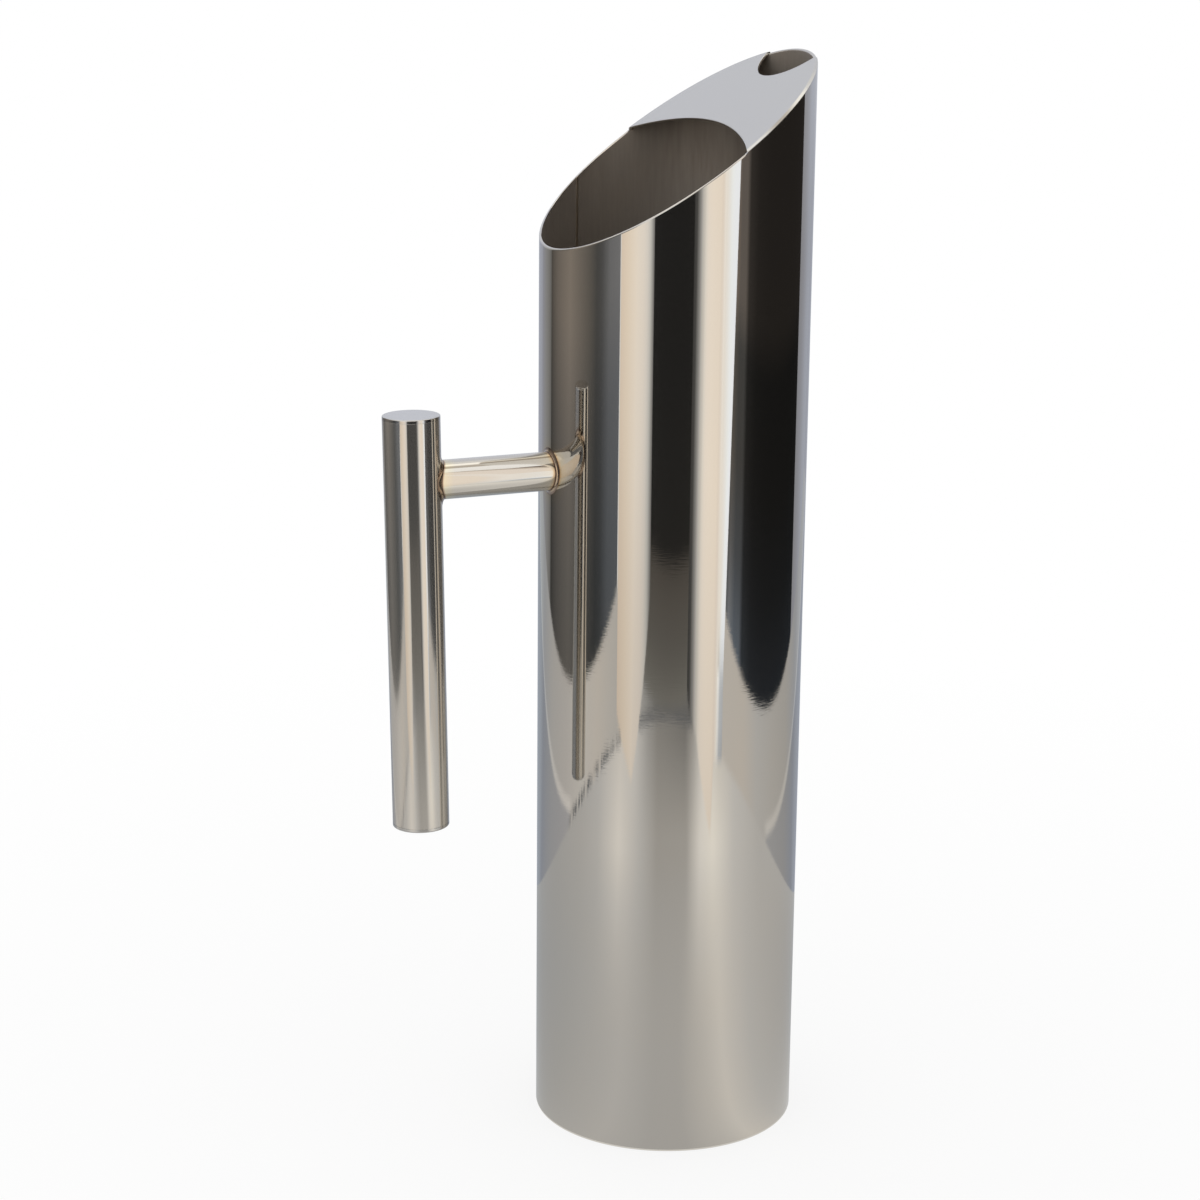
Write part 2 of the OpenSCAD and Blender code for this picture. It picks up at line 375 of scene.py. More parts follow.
def rimPlane(lift=0.0):
    # a point of the cut's plane and the direction that stands out of it
    slant = math.radians(bodySettings["slant"])
    middle = bodySettings["lip"] + bodySettings["radius"] * math.tan(slant)
    out = Vector((-math.sin(slant), 0, math.cos(slant)))
    return Vector((0, 0, middle)) + out * lift, out


def cutAtRim(bm, lift=0.0):
    point, out = rimPlane(lift)
    everything = bm.verts[:] + bm.edges[:] + bm.faces[:]
    bmesh.ops.bisect_plane(bm, geom=everything, plane_co=point, plane_no=out, clear_outer=True)


def makeBody(s):
    bm = bmesh.new()
    inner = s["radius"] - s["wall"]
    wall = [(s["radius"], 0, 0), (s["radius"], 0, 1), (inner, 0, 1), (inner, 0, 0)]
    spinSection(bm, wall, s["segments"])
    # the tube's top is drawn up to the plane of the cut
    middle = rimPlane()[0].z
    rim = [v for v in bm.verts if v.co.z > 0.5]
    for vert in rim:
        vert.co.z = middle + vert.co.x * math.tan(math.radians(s["slant"]))
    foot = [v for v in bm.verts if v.co.z < 0.5]
    bmesh.ops.remove_doubles(bm, verts=bm.verts, dist=1e-4)
    bmesh.ops.recalc_face_normals(bm, faces=bm.faces)
    # the rim is ground round, but stays square where the guard lies on it
    bareRim = [v for v in rim
               if v.is_valid and not notchCut[2] < abs(math.atan2(v.co.y, v.co.x)) < fillCut[2]]
    rimEdges = [e for e in edgesOf(bareRim) if e.calc_face_angle(0) > 0.3]
    footEdges = [e for e in edgesOf([v for v in foot if v.is_valid]) if e.calc_face_angle(0) > 0.3]
    softenEdges(bm, rimEdges, s["rimRound"])
    softenEdges(bm, footEdges, s["footRound"])
    bm.normal_update()
    middleOfWall = s["radius"] - s["wall"] / 2
    for face in bm.faces:
        far = face.calc_center_median().to_2d().length
        face.material_index = 1 if far < middleOfWall and abs(face.normal.z) < 0.2 else 0
    finishPiece("bodyShell", bm, [bodyMetal, satinMetal], ["body_tube"])


makeBody(bodySettings)

# Long seam: low bead down the inside, with the ripples of the torch
seamSettings = {
    "bearing": 114.0, "bore": 43.65, "width": 1.2, "proud": 0.2, "low": 4.8,
    "sunk": 0.3, "rimGap": 0.3, "ripplePitch": 1.6, "rippleBow": 0.6, "rippleDepth": 0.05, "steps": 620,
}


def makeSeam(s):
    bm = bmesh.new()
    # half-round section that starts inside the wall
    half = s["width"] / 2
    arc = [(s["bore"] - s["proud"] * math.cos(t * math.pi / 6), half * math.sin(t * math.pi / 6))
           for t in range(-3, 4)]
    section = [(s["bore"] + s["sunk"], -half)] + arc + [(s["bore"] + s["sunk"], half)]
    verts = [bm.verts.new((x, y, s["low"])) for x, y in section]
    foot = bm.faces.new(verts)
    tall = rimPlane()[0].z - s["low"]
    grown = bmesh.ops.extrude_face_region(bm, geom=[foot])
    bmesh.ops.translate(bm, verts=[g for g in grown["geom"] if isinstance(g, bmesh.types.BMVert)],
                        vec=(0, 0, tall))
    long = [e for e in bm.edges if abs(e.verts[0].co.z - e.verts[1].co.z) > 1]
    bmesh.ops.subdivide_edges(bm, edges=long, cuts=s["steps"], use_grid_fill=True)
    for vert in bm.verts:
        if abs(vert.co.y) < half * 0.95 and vert.co.x < s["bore"]:
            bowed = vert.co.z + s["rippleBow"] * (vert.co.y / half) ** 2
            wave = math.cos(math.tau * bowed / s["ripplePitch"])
            vert.co.x += s["rippleDepth"] * (0.5 - 0.5 * wave)
    turned = Matrix.Rotation(math.radians(s["bearing"]), 3, "Z")
    bmesh.ops.rotate(bm, verts=bm.verts, cent=(0, 0, 0), matrix=turned)
    cutAtRim(bm, -s["rimGap"])
    bmesh.ops.holes_fill(bm, edges=[e for e in bm.edges if e.is_boundary], sides=0)
    finishPiece("seamBead", bm, [beadMetal], ["seam_weld"])


makeSeam(seamSettings)

# Base: pressed pan set up inside the foot, and the ring of weld that seals it
panSettings = {
    "radius": 43.6, "recess": 4.0, "sheet": 0.8, "bend": 1.0, "flangeLow": 0.9, "steps": 192,
    "bendSteps": 6,
}


def makePan(s):
    bm = bmesh.new()
    outerBend = s["bend"] + s["sheet"]
    hub = (s["radius"] - outerBend, s["recess"] + s["sheet"] - outerBend)
    quarter = [i * math.pi / 2 / s["bendSteps"] for i in range(s["bendSteps"] + 1)]
    top = [(hub[0] + outerBend * math.sin(a), hub[1] + outerBend * math.cos(a)) for a in quarter]
    under = [(hub[0] + s["bend"] * math.sin(a), hub[1] + s["bend"] * math.cos(a)) for a in quarter[::-1]]
    flange = [(s["radius"], s["flangeLow"]), (s["radius"] - s["sheet"], s["flangeLow"])]
    inside = [(0.0, s["recess"] + s["sheet"])] + top + flange + under + [(0.0, s["recess"])]
    spinSection(bm, [(x, 0, z) for x, z in inside], s["steps"], closed=False)
    finishPiece("basePan", bm, [satinMetal], ["base_pan"])


makePan(panSettings)

footWeldSettings = {
    "bore": 43.64, "inner": 42.8, "height": 0.88, "round": 0.4, "ripples": 150, "rippleDepth": 0.05,
    "steps": 600,
}


def makeFootWeld(s):
    bm = bmesh.new()
    rounding = [(s["inner"] + s["round"] * (1 - math.cos(a)), s["round"] * (1 - math.sin(a)))
                for a in (i * math.pi / 10 for i in range(6))]
    points = [(s["bore"], s["height"]), (s["inner"], s["height"])] + rounding + [(s["bore"], 0.0)]
    spinSection(bm, [(x, 0, z) for x, z in points], s["steps"])
    for vert in bm.verts:
        if vert.co.z < s["height"] - 0.1 and vert.co.to_2d().length < s["bore"] - 0.1:
            angle = math.atan2(vert.co.y, vert.co.x)
            wave = 0.5 - 0.5 * math.cos(angle * s["ripples"])
            vert.co += Vector((vert.co.x, vert.co.y, 0)).normalized() * s["rippleDepth"] * wave
            vert.co.z += s["rippleDepth"] * wave
    finishPiece("footWeld", bm, [beadMetal], ["base_weld"])


makeFootWeld(footWeldSettings)


def spunArc(bm, start, centre, angle, steps):
    # draws an arc in the plane Z = 0, and returns its verts in order
    verts = [bm.verts.new((start[0], start[1], 0))]
    for _ in range(steps):
        made = bmesh.ops.spin(bm, geom=[verts[-1]], cent=(centre[0], centre[1], 0), axis=(0, 0, 1),
                              angle=angle / steps, steps=1)
        verts.append([g for g in made["geom_last"] if isinstance(g, bmesh.types.BMVert)][0])
    return verts


def plateOutline(bm, s, body, height, trimmed=0.0, grown=0.0):
    # the plate's outline at that height over the cut: rim, lower edge, rim and notch. Its rim stays
    # upright over the tube, save where the bevel trims it.
    slant = math.radians(body["slant"])
    stretch = 1 / math.cos(slant)
    slip = height * math.tan(slant) - s["bevelTip"] * trimmed
    radius = body["radius"] - s["inset"] - s["bevelWide"] * trimmed
    fill, notch = guardCuts(s, body, slip, s["bevelWide"] * trimmed, grown)
    turn = fill[2] - notch[2]
    rims = [spunArc(bm, (radius * math.cos(at), radius * math.sin(at)), (0, 0), turn, s["rimSteps"])
            for at in (notch[2], -fill[2])]
    bmesh.ops.scale(bm, verts=rims[0] + rims[1], vec=(stretch, 1, 1))
    arcs = []
    for (hub, arc, at), side, steps in ((fill, 1, s["arcSteps"]), (notch, -1, s["notchSteps"])):
        u, v = radius * stretch * math.cos(at), radius * math.sin(at)
        opening = math.atan2(v, (u - hub) * side)
        arcs.append(spunArc(bm, (u, v * side), (hub, 0), -2 * opening, steps))
    around = [rims[0], arcs[0], rims[1], arcs[1]]
    bmesh.ops.translate(bm, verts=sum(around, []), vec=(slip, 0, height))
    bmesh.ops.weld_verts(bm, targetmap={a[-1]: b[0] for a, b in zip(around, around[1:] + around[:1])})
    return [vert for arc in around for vert in arc[:-1]]


def makeGuard(s, body):
    bm = bmesh.new()
    sheet, edge, deep = s["sheet"], s["edgeBevel"], s["bevelDeep"]
    levels = [(0, 0, edge), (edge, 0, 0), (sheet - deep, 0, 0), (sheet - edge, (deep - edge) / deep, 0),
              (sheet, 1, edge)]
    outlines = [plateOutline(bm, s, body, *level) for level in levels]
    for low, high in zip(outlines, outlines[1:]):
        bmesh.ops.bridge_loops(bm, edges=edgesOf(low) + edgesOf(high))
    bm.faces.new(outlines[0])
    bm.faces.new(outlines[-1])
    pose = Matrix.Translation(rimPlane()[0]) @ Matrix.Rotation(-math.radians(body["slant"]), 4, "Y")
    bmesh.ops.transform(bm, matrix=pose, verts=bm.verts)
    finishPiece("iceGuard", bm, [plateMetal], ["ice_guard"], 20)


makeGuard(guardSettings, bodySettings)

guardWeldSettings = {"size": 0.62, "slip": 0.02, "steps": 120, "sectionSteps": 6, "ripples": 140,
                     "rippleDepth": 0.05}


def makeGuardWeld(s, body):
    # a bead in the corner under the plate, on each side of the notch
    slant = math.radians(body["slant"])
    bore = body["radius"] - body["wall"]
    bm = bmesh.new()
    for side in (1, -1):
        hollow = [(bore - s["size"] * math.cos(a), -s["size"] * math.sin(a))
                  for a in (i * math.pi / 2 / s["sectionSteps"] for i in range(s["sectionSteps"] + 1))]
        points = [(x, z - s["slip"]) for x, z in [(bore, 0)] + hollow]
        first, last = notchCut[2] + s["slip"], fillCut[2] - s["slip"]
        turned = [Matrix.Rotation(side * first, 3, "Z") @ Vector((x, 0, z)) for x, z in points]
        verts = [bm.verts.new(p) for p in turned]
        cap = bm.faces.new(verts)
        bmesh.ops.spin(bm, geom=[cap], cent=(0, 0, 0), axis=(0, 0, 1), angle=side * (last - first),
                       steps=s["steps"])
    for vert in bm.verts:
        far = vert.co.to_2d().length
        if far < bore - 0.05 and vert.co.z < -0.1:
            angle = math.atan2(vert.co.y, vert.co.x)
            vert.co.z += s["rippleDepth"] * (0.5 - 0.5 * math.cos(angle * s["ripples"]))
    middle = rimPlane()[0].z
    for vert in bm.verts:
        vert.co.z += middle + vert.co.x * math.tan(slant)
    finishPiece("guardWeld", bm, [beadMetal], ["guard_weld"])


makeGuardWeld(guardWeldSettings, bodySettings)

# Handle: arm, grip, caps and the two fillet welds
handleSettings = {
    "armHeight": 227.9, "armRadius": 6.35, "armWall": 1.2,
    "gripX": -91.55, "gripRadius": 9.3, "gripWall": 1.2, "gripTop": 21.7, "gripBottom": -115.2,
    "lean": 1.0, "capSheet": 1.2, "capRound": 0.4, "edgeRound": 0.06, "inset": 0.01, "segments": 128,
}


def bodyFace(y, z):
    # where the body's wall stands at that side and height, towards the handle
    return -math.sqrt(bodySettings["radius"] ** 2 - y * y)


def gripFace(y, z):
    # the same for the leaning grip, towards the body
    s = handleSettings
    lean = math.radians(s["lean"])
    drop = s["armHeight"] - z
    reach = math.sqrt(s["gripRadius"] ** 2 - y * y) + drop * math.sin(lean)
    return s["gripX"] + reach / math.cos(lean)


def makeArm(s):
    bm = bmesh.new()
    openTube(bm, s["armRadius"], s["armRadius"] - s["armWall"], 0, 1, s["segments"])
    # the tube lies down along X, and its ends are coped to the round walls that they meet
    bmesh.ops.rotate(bm, verts=bm.verts, cent=(0, 0, 0), matrix=Matrix.Rotation(math.pi / 2, 3, "Y"))
    fromBody, fromGrip = (bm.verts.layers.float.new(name) for name in ("fromBody", "fromGrip"))
    for vert in bm.verts:
        vert.co.z += s["armHeight"]
        ends = bodyFace(vert.co.y, vert.co.z), gripFace(vert.co.y, vert.co.z)
        vert.co.x = ends[0] if vert.co.x > 0.5 else ends[1]
        vert[fromBody], vert[fromGrip] = ends[0] - vert.co.x, vert.co.x - ends[1]
    finishPiece("handleArm", bm, [armMetal], ["handle_arm"])


def saddleWeld(name, node, s, reach, face, side, look):
    # a hollow fillet spun round the arm and then laid against the round wall
    bm = bmesh.new()
    r = s["armRadius"]
    root, wallToe, armToe = Vector((r, 0)), Vector((r + 1, 0)), Vector((r, reach["run"]))
    pull = root + look["fullness"] * ((wallToe + armToe) / 2 - root)
    steps = look["faceSteps"]
    curve = [(1 - t) ** 2 * wallToe + 2 * t * (1 - t) * pull + t * t * armToe
             for t in (i / steps for i in range(steps + 1))]
    # x is the lift off the wall here
    points = [(p.y, p.x, 0) for p in [root] + curve]
    spinSection(bm, points, look["steps"], axis=(1, 0, 0))
    lift = bm.verts.layers.float.new("lift")
    for vert in bm.verts:
        far = math.hypot(vert.co.y, vert.co.z)
        angle = math.atan2(vert.co.y, vert.co.z)
        vert[lift] = vert.co.x / reach["run"]
        if vert.co.x > 0.02 and far > r + 0.02:
            wave = 0.5 - 0.5 * math.cos(angle * look["ripples"])
            vert.co.x -= look["rippleDepth"] * wave * min(1, vert[lift] * 4)
        # it reaches further above and below the arm than at its sides
        spread = reach["flank"] + (reach["rise"] - reach["flank"]) * math.cos(angle) ** 2
        grown = 1 + (far - r) * (spread - 1) / far
        vert.co.y *= grown
        vert.co.z = s["armHeight"] + vert.co.z * grown
        vert.co.x = face(vert.co.y, vert.co.z) + side * vert.co.x
    finishPiece(name, bm, [look["metal"]], [node], 50)


def makeGrip(s):
    bm = bmesh.new()
    low, high = s["gripBottom"] + s["capSheet"], s["gripTop"] - s["capSheet"]
    outer = s["gripRadius"] - s["inset"]
    openTube(bm, outer, s["gripRadius"] - s["gripWall"], low, high, s["segments"])
    ends = [e for e in bm.edges if e.calc_face_angle(0) > 1 and e.verts[0].co.to_2d().length > 9]
    softenEdges(bm, ends, s["edgeRound"], 2)
    placeOnGrip(bm, s)
    finishPiece("gripTube", bm, [gripMetal], ["grip_tube"])


def placeOnGrip(bm, s):
    lean = Matrix.Rotation(-math.radians(s["lean"]), 4, "Y")
    place = Matrix.Translation((s["gripX"], 0, s["armHeight"]))
    bmesh.ops.transform(bm, matrix=place @ lean, verts=bm.verts)


def makeCap(name, node, s, up):
    # a disc with its outer edge rounded over and a hair of a chamfer where it meets the tube
    bm = bmesh.new()
    radius = s["gripRadius"] - s["inset"]
    bmesh.ops.create_circle(bm, cap_ends=True, segments=s["segments"], radius=radius)
    disc = bm.faces[:][0]
    grown = bmesh.ops.extrude_face_region(bm, geom=[disc])
    tops = [g for g in grown["geom"] if isinstance(g, bmesh.types.BMVert)]
    bmesh.ops.translate(bm, verts=tops, vec=(0, 0, s["capSheet"] - s["inset"]))
    softenEdges(bm, edgesOf(tops), s["capRound"], 5)
    softenEdges(bm, edgesOf([v for v in bm.verts if abs(v.co.z) < 1e-6]), s["edgeRound"], 2)
    if up < 0:
        bmesh.ops.rotate(bm, verts=bm.verts, cent=(0, 0, 0), matrix=Matrix.Rotation(math.pi, 3, "X"))
    base = s["gripTop"] - s["capSheet"] if up > 0 else s["gripBottom"] + s["capSheet"]
    bmesh.ops.translate(bm, verts=bm.verts, vec=(0, 0, base))
    placeOnGrip(bm, s)
    finishPiece(name, bm, [plateMetal], [node])


weldLook = {"faceSteps": 12, "steps": 256, "fullness": 0.55, "ripples": 34, "rippleDepth": 0.012,
            "metal": filletMetal}
makeArm(handleSettings)
saddleWeld("armBodyWeld", "arm_body_weld", handleSettings, {"rise": 1.4, "flank": 0.8, "run": 0.7},
           bodyFace, -1, weldLook)
saddleWeld("armGripWeld", "arm_grip_weld", handleSettings, {"rise": 2.2, "flank": 1.1, "run": 0.9},
           gripFace, 1, weldLook)
makeGrip(handleSettings)
makeCap("gripTopCap", "grip_top_cap", handleSettings, 1)
makeCap("gripBottomCap", "grip_bottom_cap", handleSettings, -1)
print("pitcher: pieces modelled")


# Studio. Boards stand round the pitcher where its polish mirrors them. They are placed by how far they
# are to the camera's right and towards the camera, in mm from the pitcher's axis.
# the boards glow with painted light and shade: the studio's lit panels, dim walls and sheets as the polish
# mirrors them
studioSettings = {
    "boardLevel": 0.735,     # all boards together
    "floorSize": 3.0,        # metres
    "floorDrop": 0.0002,     # metres below the foot
    "shadowShare": 0.2,      # how much of the floor is lit for real, the rest is plain white
    "shadowReach": (0.15, 0.6),   # metres over which that fades to none
}


def cameraSides():
    # level directions towards the camera and to its right
    turn = math.radians(cameraSettings["turn"])
    return Vector((math.cos(turn), math.sin(turn), 0)), Vector((-math.sin(turn), math.cos(turn), 0))


def spot(right, toward, z):
    ahead, side = cameraSides()
    return (side * right + ahead * toward + Vector((0, 0, z))) * metresPerMm


def rampOf(tree, source, stops, start=0.0, reach=1.0):
    # stops are (place, hex, level), and the places run from start over reach
    lit = [((at - start) / reach, linearColour(shade, level)) for at, shade, level in stops]
    return addNode(tree, "ShaderNodeValToRGB", links={0: source}, stops=lit)


def mixOf(tree, share, first, second, kind="MIX"):
    return addNode(tree, "ShaderNodeMix", links={0: share, 6: first, 7: second}, data_type="RGBA",
                   blend_type=kind).outputs[2]


def addBoard(name, bm, paint):
    # a board that only the polish sees and that glows with painted light and shade; paint is given the tree
    # and returns its colour
    material = bpy.data.materials.new(name)
    material.use_nodes = True
    tree = material.node_tree
    tree.nodes.clear()
    level = studioSettings["boardLevel"]
    glow = addNode(tree, "ShaderNodeEmission", {"Strength": level}, {"Color": paint(tree)})
    addNode(tree, "ShaderNodeOutputMaterial", links={"Surface": glow})
    mesh = bpy.data.meshes.new(name)
    bm.to_mesh(mesh)
    bm.free()
    mesh.materials.append(material)
    board = bpy.data.objects.new(name, mesh)
    bpy.context.scene.collection.objects.link(board)
    board.visible_camera = False
    board.visible_diffuse = False
    board.visible_shadow = False
    board.visible_transmission = False
    board.visible_volume_scatter = False


def addStrip(name, points, rise, along, up):
    # a board that stands on a line of points, or lies from it, painted along and up; it rises alike all
    # along, or by an amount for each point
    bm = bmesh.new()
    uvLayer = bm.loops.layers.uv.new("boardMap")
    rises = rise if isinstance(rise, list) else [rise] * len(points)
    feet = [bm.verts.new(spot(*p)) for p in points]
    tops = [bm.verts.new(foot.co + spot(*r)) for foot, r in zip(feet, rises)]
    lengths = [0.0]
    for foot, after in zip(feet, feet[1:]):
        lengths.append(lengths[-1] + (after.co - foot.co).length)
    for i in range(len(feet) - 1):
        face = bm.faces.new((feet[i], feet[i + 1], tops[i + 1], tops[i]))
        for loop, (at, height) in zip(face.loops, ((i, 0), (i + 1, 0), (i + 1, 1), (i, 1))):
            loop[uvLayer].uv = (lengths[at] / lengths[-1], height)

    def paint(tree):
        coords = addNode(tree, "ShaderNodeTexCoord")
        split = addNode(tree, "ShaderNodeSeparateXYZ", links={0: coords.outputs["UV"]})
        across, upward = (rampOf(tree, split.outputs[k], tones) for k, tones in (("X", along), ("Y", up)))
        return addNode(tree, "ShaderNodeMix", {0: 1.0}, {6: across, 7: upward}, data_type="RGBA",
                       blend_type="MULTIPLY").outputs[2]

    addBoard(name, bm, paint)


# the room's sides and the table's front edge
roomLeft, roomRight, roomBack, tableEdge = -583, 540, -1000, 561
even = [(0, white, 1.0)]
# each board: the line it stands on, how it rises from there, and its tones along the line and upwards
boards = {
    # lit panel on the left, its face and its side that runs away to the front
    "leftFace": {
        "points": [(-386, 388, 0), (-226, 375, 0)], "rise": (0, 0, 380),
        "along": [(0, "#FFEEDD", 1.45), (0.5, "#FFF1E0", 1.56), (1, "#FFF5EA", 1.65)],
        "up": [(0, white, 0.8), (0.22, white, 0.86), (0.4, white, 0.95), (0.64, white, 1.0)],
    },
    "leftSide": {
        "points": [(-226, 375, 0), (-232, 550, 0), (-245, 760, 0), (-268, 820, 0)], "rise": (0, 0, 380),
        "along": [(0, "#FFF6EC", 1.62), (0.2, "#FFF7EF", 1.57), (0.36, "#FFFAF5", 1.43),
                  (0.54, "#FFFFFD", 1.12), (0.75, white, 0.52), (1, white, 0.06)],
        "up": [(0, white, 0.78), (0.22, white, 0.86), (0.4, white, 0.96), (0.64, white, 1.0)],
    },
    # the same on the right, where a white band stands beside the cream
    "rightSide": {
        "points": [(205, 297, 0), (190, 471, 0), (173, 503, 0), (150, 540, 0), (140, 580, 0)],
        "rise": (0, 0, 760),
        "along": [(0, "#FFF4E8", 1.66), (0.26, "#FFF5EA", 1.7), (0.43, "#FFF6ED", 1.67),
                  (0.54, "#FFFAF3", 1.5), (0.67, "#FFFDFA", 1.0), (0.74, white, 0.55),
                  (0.86, white, 0.12), (1, white, 0.09)],
        "up": [(0, white, 0.85), (0.1, white, 0.93), (0.2, white, 1.0)],
    },
    "rightFace": {
        "points": [(205, 297, 0.3), (281, 376, 0.3), (294, 366, 0.3)], "rise": (0, 0, 760),
        "along": [(0, "#FFF4E8", 1.6), (0.87, "#FFF5EC", 1.6), (1, "#FFFCF8", 1.75)],
        "up": [(0, white, 0.85), (0.1, white, 0.93), (0.2, white, 1.0)],
    },
    "rightFaceHigh": {
        "points": [(294, 366, 330), (344, 320, 330)], "rise": (0, 0, 430), "up": even,
        "along": [(0, "#FFF5EC", 1.6), (0.66, "#FFF5EC", 1.6), (0.76, "#FFF2E4", 0.95),
                  (1, "#FFF2E4", 0.95)],
    },
    "whiteBandLow": {
        "points": [(294, 366, 0), (326, 336.6, 0)], "rise": (0, 0, 46),
        "along": [(0, "#FFFEFC", 1.62), (0.2, "#FAFCFF", 1.55), (0.45, "#EDF5FF", 1.12),
                  (1, "#F0F6FF", 0.98)],
        "up": [(0, white, 0.82), (0.4, white, 0.97), (0.75, white, 1.0), (1, white, 1.2)],
    },
    "whiteBand": {
        "points": [(294, 366, 46), (325, 337.5, 46)], "rise": [(0, 0, 284), (46.5, -42.8, 284)],
        "along": [(0, "#FFFAF4", 1.67), (0.2, white, 1.7), (0.4, "#F3F9FF", 1.97),
                  (0.6, "#EFF5FF", 2.05)],
        "up": [(0, white, 0.72), (0.06, white, 0.92), (0.12, white, 1.0)],
    },
    # walls of the dim room to the left and right
    "leftWall": {
        "points": [(roomLeft, 560, 0), (roomLeft, -420, 0)], "rise": (0, 0, 640),
        "along": [(0, "#F4F7FF", 0.36), (0.16, "#F4F7FF", 0.31), (0.26, "#F9FBFF", 0.15),
                  (0.32, white, 0.12), (0.4, "#FFF7EE", 0.2), (0.64, "#FFF1E4", 0.41),
                  (0.84, "#FFF2E7", 0.28), (1, "#FFF6EC", 0.13)],
        "up": [(0, "#EDF6FF", 0.58), (0.08, "#EDF6FF", 0.64), (0.2, "#F4F9FF", 0.78),
               (0.3, white, 1.0)],
    },
    "rightWall": {
        "points": [(roomRight, 560, 0), (roomRight, -376, 0)], "rise": (0, 0, 900),
        "along": [(0, "#FFF8F0", 0.03), (0.09, "#FFF4EA", 0.17), (0.167, white, 0.1),
                  (0.24, white, 0.1), (0.28, white, 0.028), (0.38, white, 0.016), (0.5, white, 0.014),
                  (1, white, 0.014)],
        "up": [(0, "#CFE4FF", 3.0), (0.02, "#D8E8FF", 2.5), (0.06, "#E6F0FF", 1.5), (0.12, white, 1.0),
               (0.19, white, 1.0), (0.22, "#FFF2EA", 2.2)],
    },
    # sheet behind the pitcher, which comes round on both sides and is bright high up only
    "leftBack": {
        "points": [(roomLeft, -420, 0), (roomLeft, roomBack, 0)], "rise": (0, 0, 1600),
        "along": [(0, white, 0.24), (0.14, white, 0.36), (0.4, "#F8FAFF", 0.47), (1, "#E8ECFF", 0.62)],
        "up": [(0, white, 1.0), (0.13, white, 1.0), (0.28, white, 1.8), (1, white, 1.9)],
    },
    "rightBack": {
        "points": [(roomRight, -376, 0), (roomRight, roomBack, 0)], "rise": (0, 0, 1600),
        "along": [(0, "#EEF1FF", 0.54), (0.5, "#E6EDFF", 0.77), (1, "#E6EDFF", 0.78)],
        "up": [(0, white, 1.0), (0.13, white, 1.0), (0.28, white, 1.5), (1, white, 1.6)],
    },
    "backdrop": {
        "points": [(roomLeft, roomBack, 0), (roomRight, roomBack, 0)], "rise": (0, 0, 1600),
        "along": even,
        "up": [(0, "#E8EEFF", 0.68), (0.13, "#E8EEFF", 0.72), (0.28, "#EFF3FF", 1.2),
               (1, "#F4F7FF", 1.25)],
    },
    # the table's front, in shade, the dark studio behind it, and a lit sheet above that
    "tableFront": {
        "points": [(roomLeft, tableEdge, 0.5), (roomRight, tableEdge, 0.5)], "rise": (0, 321, 0),
        "along": even,
        "up": [(0, "#FFFDF6", 0.31), (0.18, "#FFFCF4", 0.235), (0.37, "#FFFAF2", 0.19),
               (0.72, "#FFF6EC", 0.155), (1, "#FFF4E8", 0.115)],
    },
    "frontDark": {
        "points": [(-900, 882, 0), (900, 882, 0)], "rise": (0, 0, 420), "along": even,
        "up": [(0, "#FFFDF8", 0.028), (0.3, white, 0.022), (1, white, 0.021)],
    },
    "frontHigh": {
        "points": [(-900, 882, 420), (900, 882, 420)], "rise": (0, 0, 870), "up": even,
        "along": [(0, white, 1.5), (0.28, white, 1.5), (0.42, "#FFF8F2", 0.6), (1, "#FFF8F2", 0.5)],
    },
    # white sheet of light overhead, with a darker joint across it
    "overhead": {
        "points": [(-900, 882, 1290), (900, 882, 1290)], "rise": (0, -1282, 0), "along": even,
        "up": [(0, white, 1.7), (0.56, white, 1.8), (0.6, "#FFF6EA", 0.95), (0.76, "#FFF6EA", 1.0),
               (0.83, "#FFFDF8", 2.1), (1, "#FFFDF8", 2.1)],
    },
}
for boardName, b in boards.items():
    addStrip(boardName, b["points"], b["rise"], b["along"], b["up"])
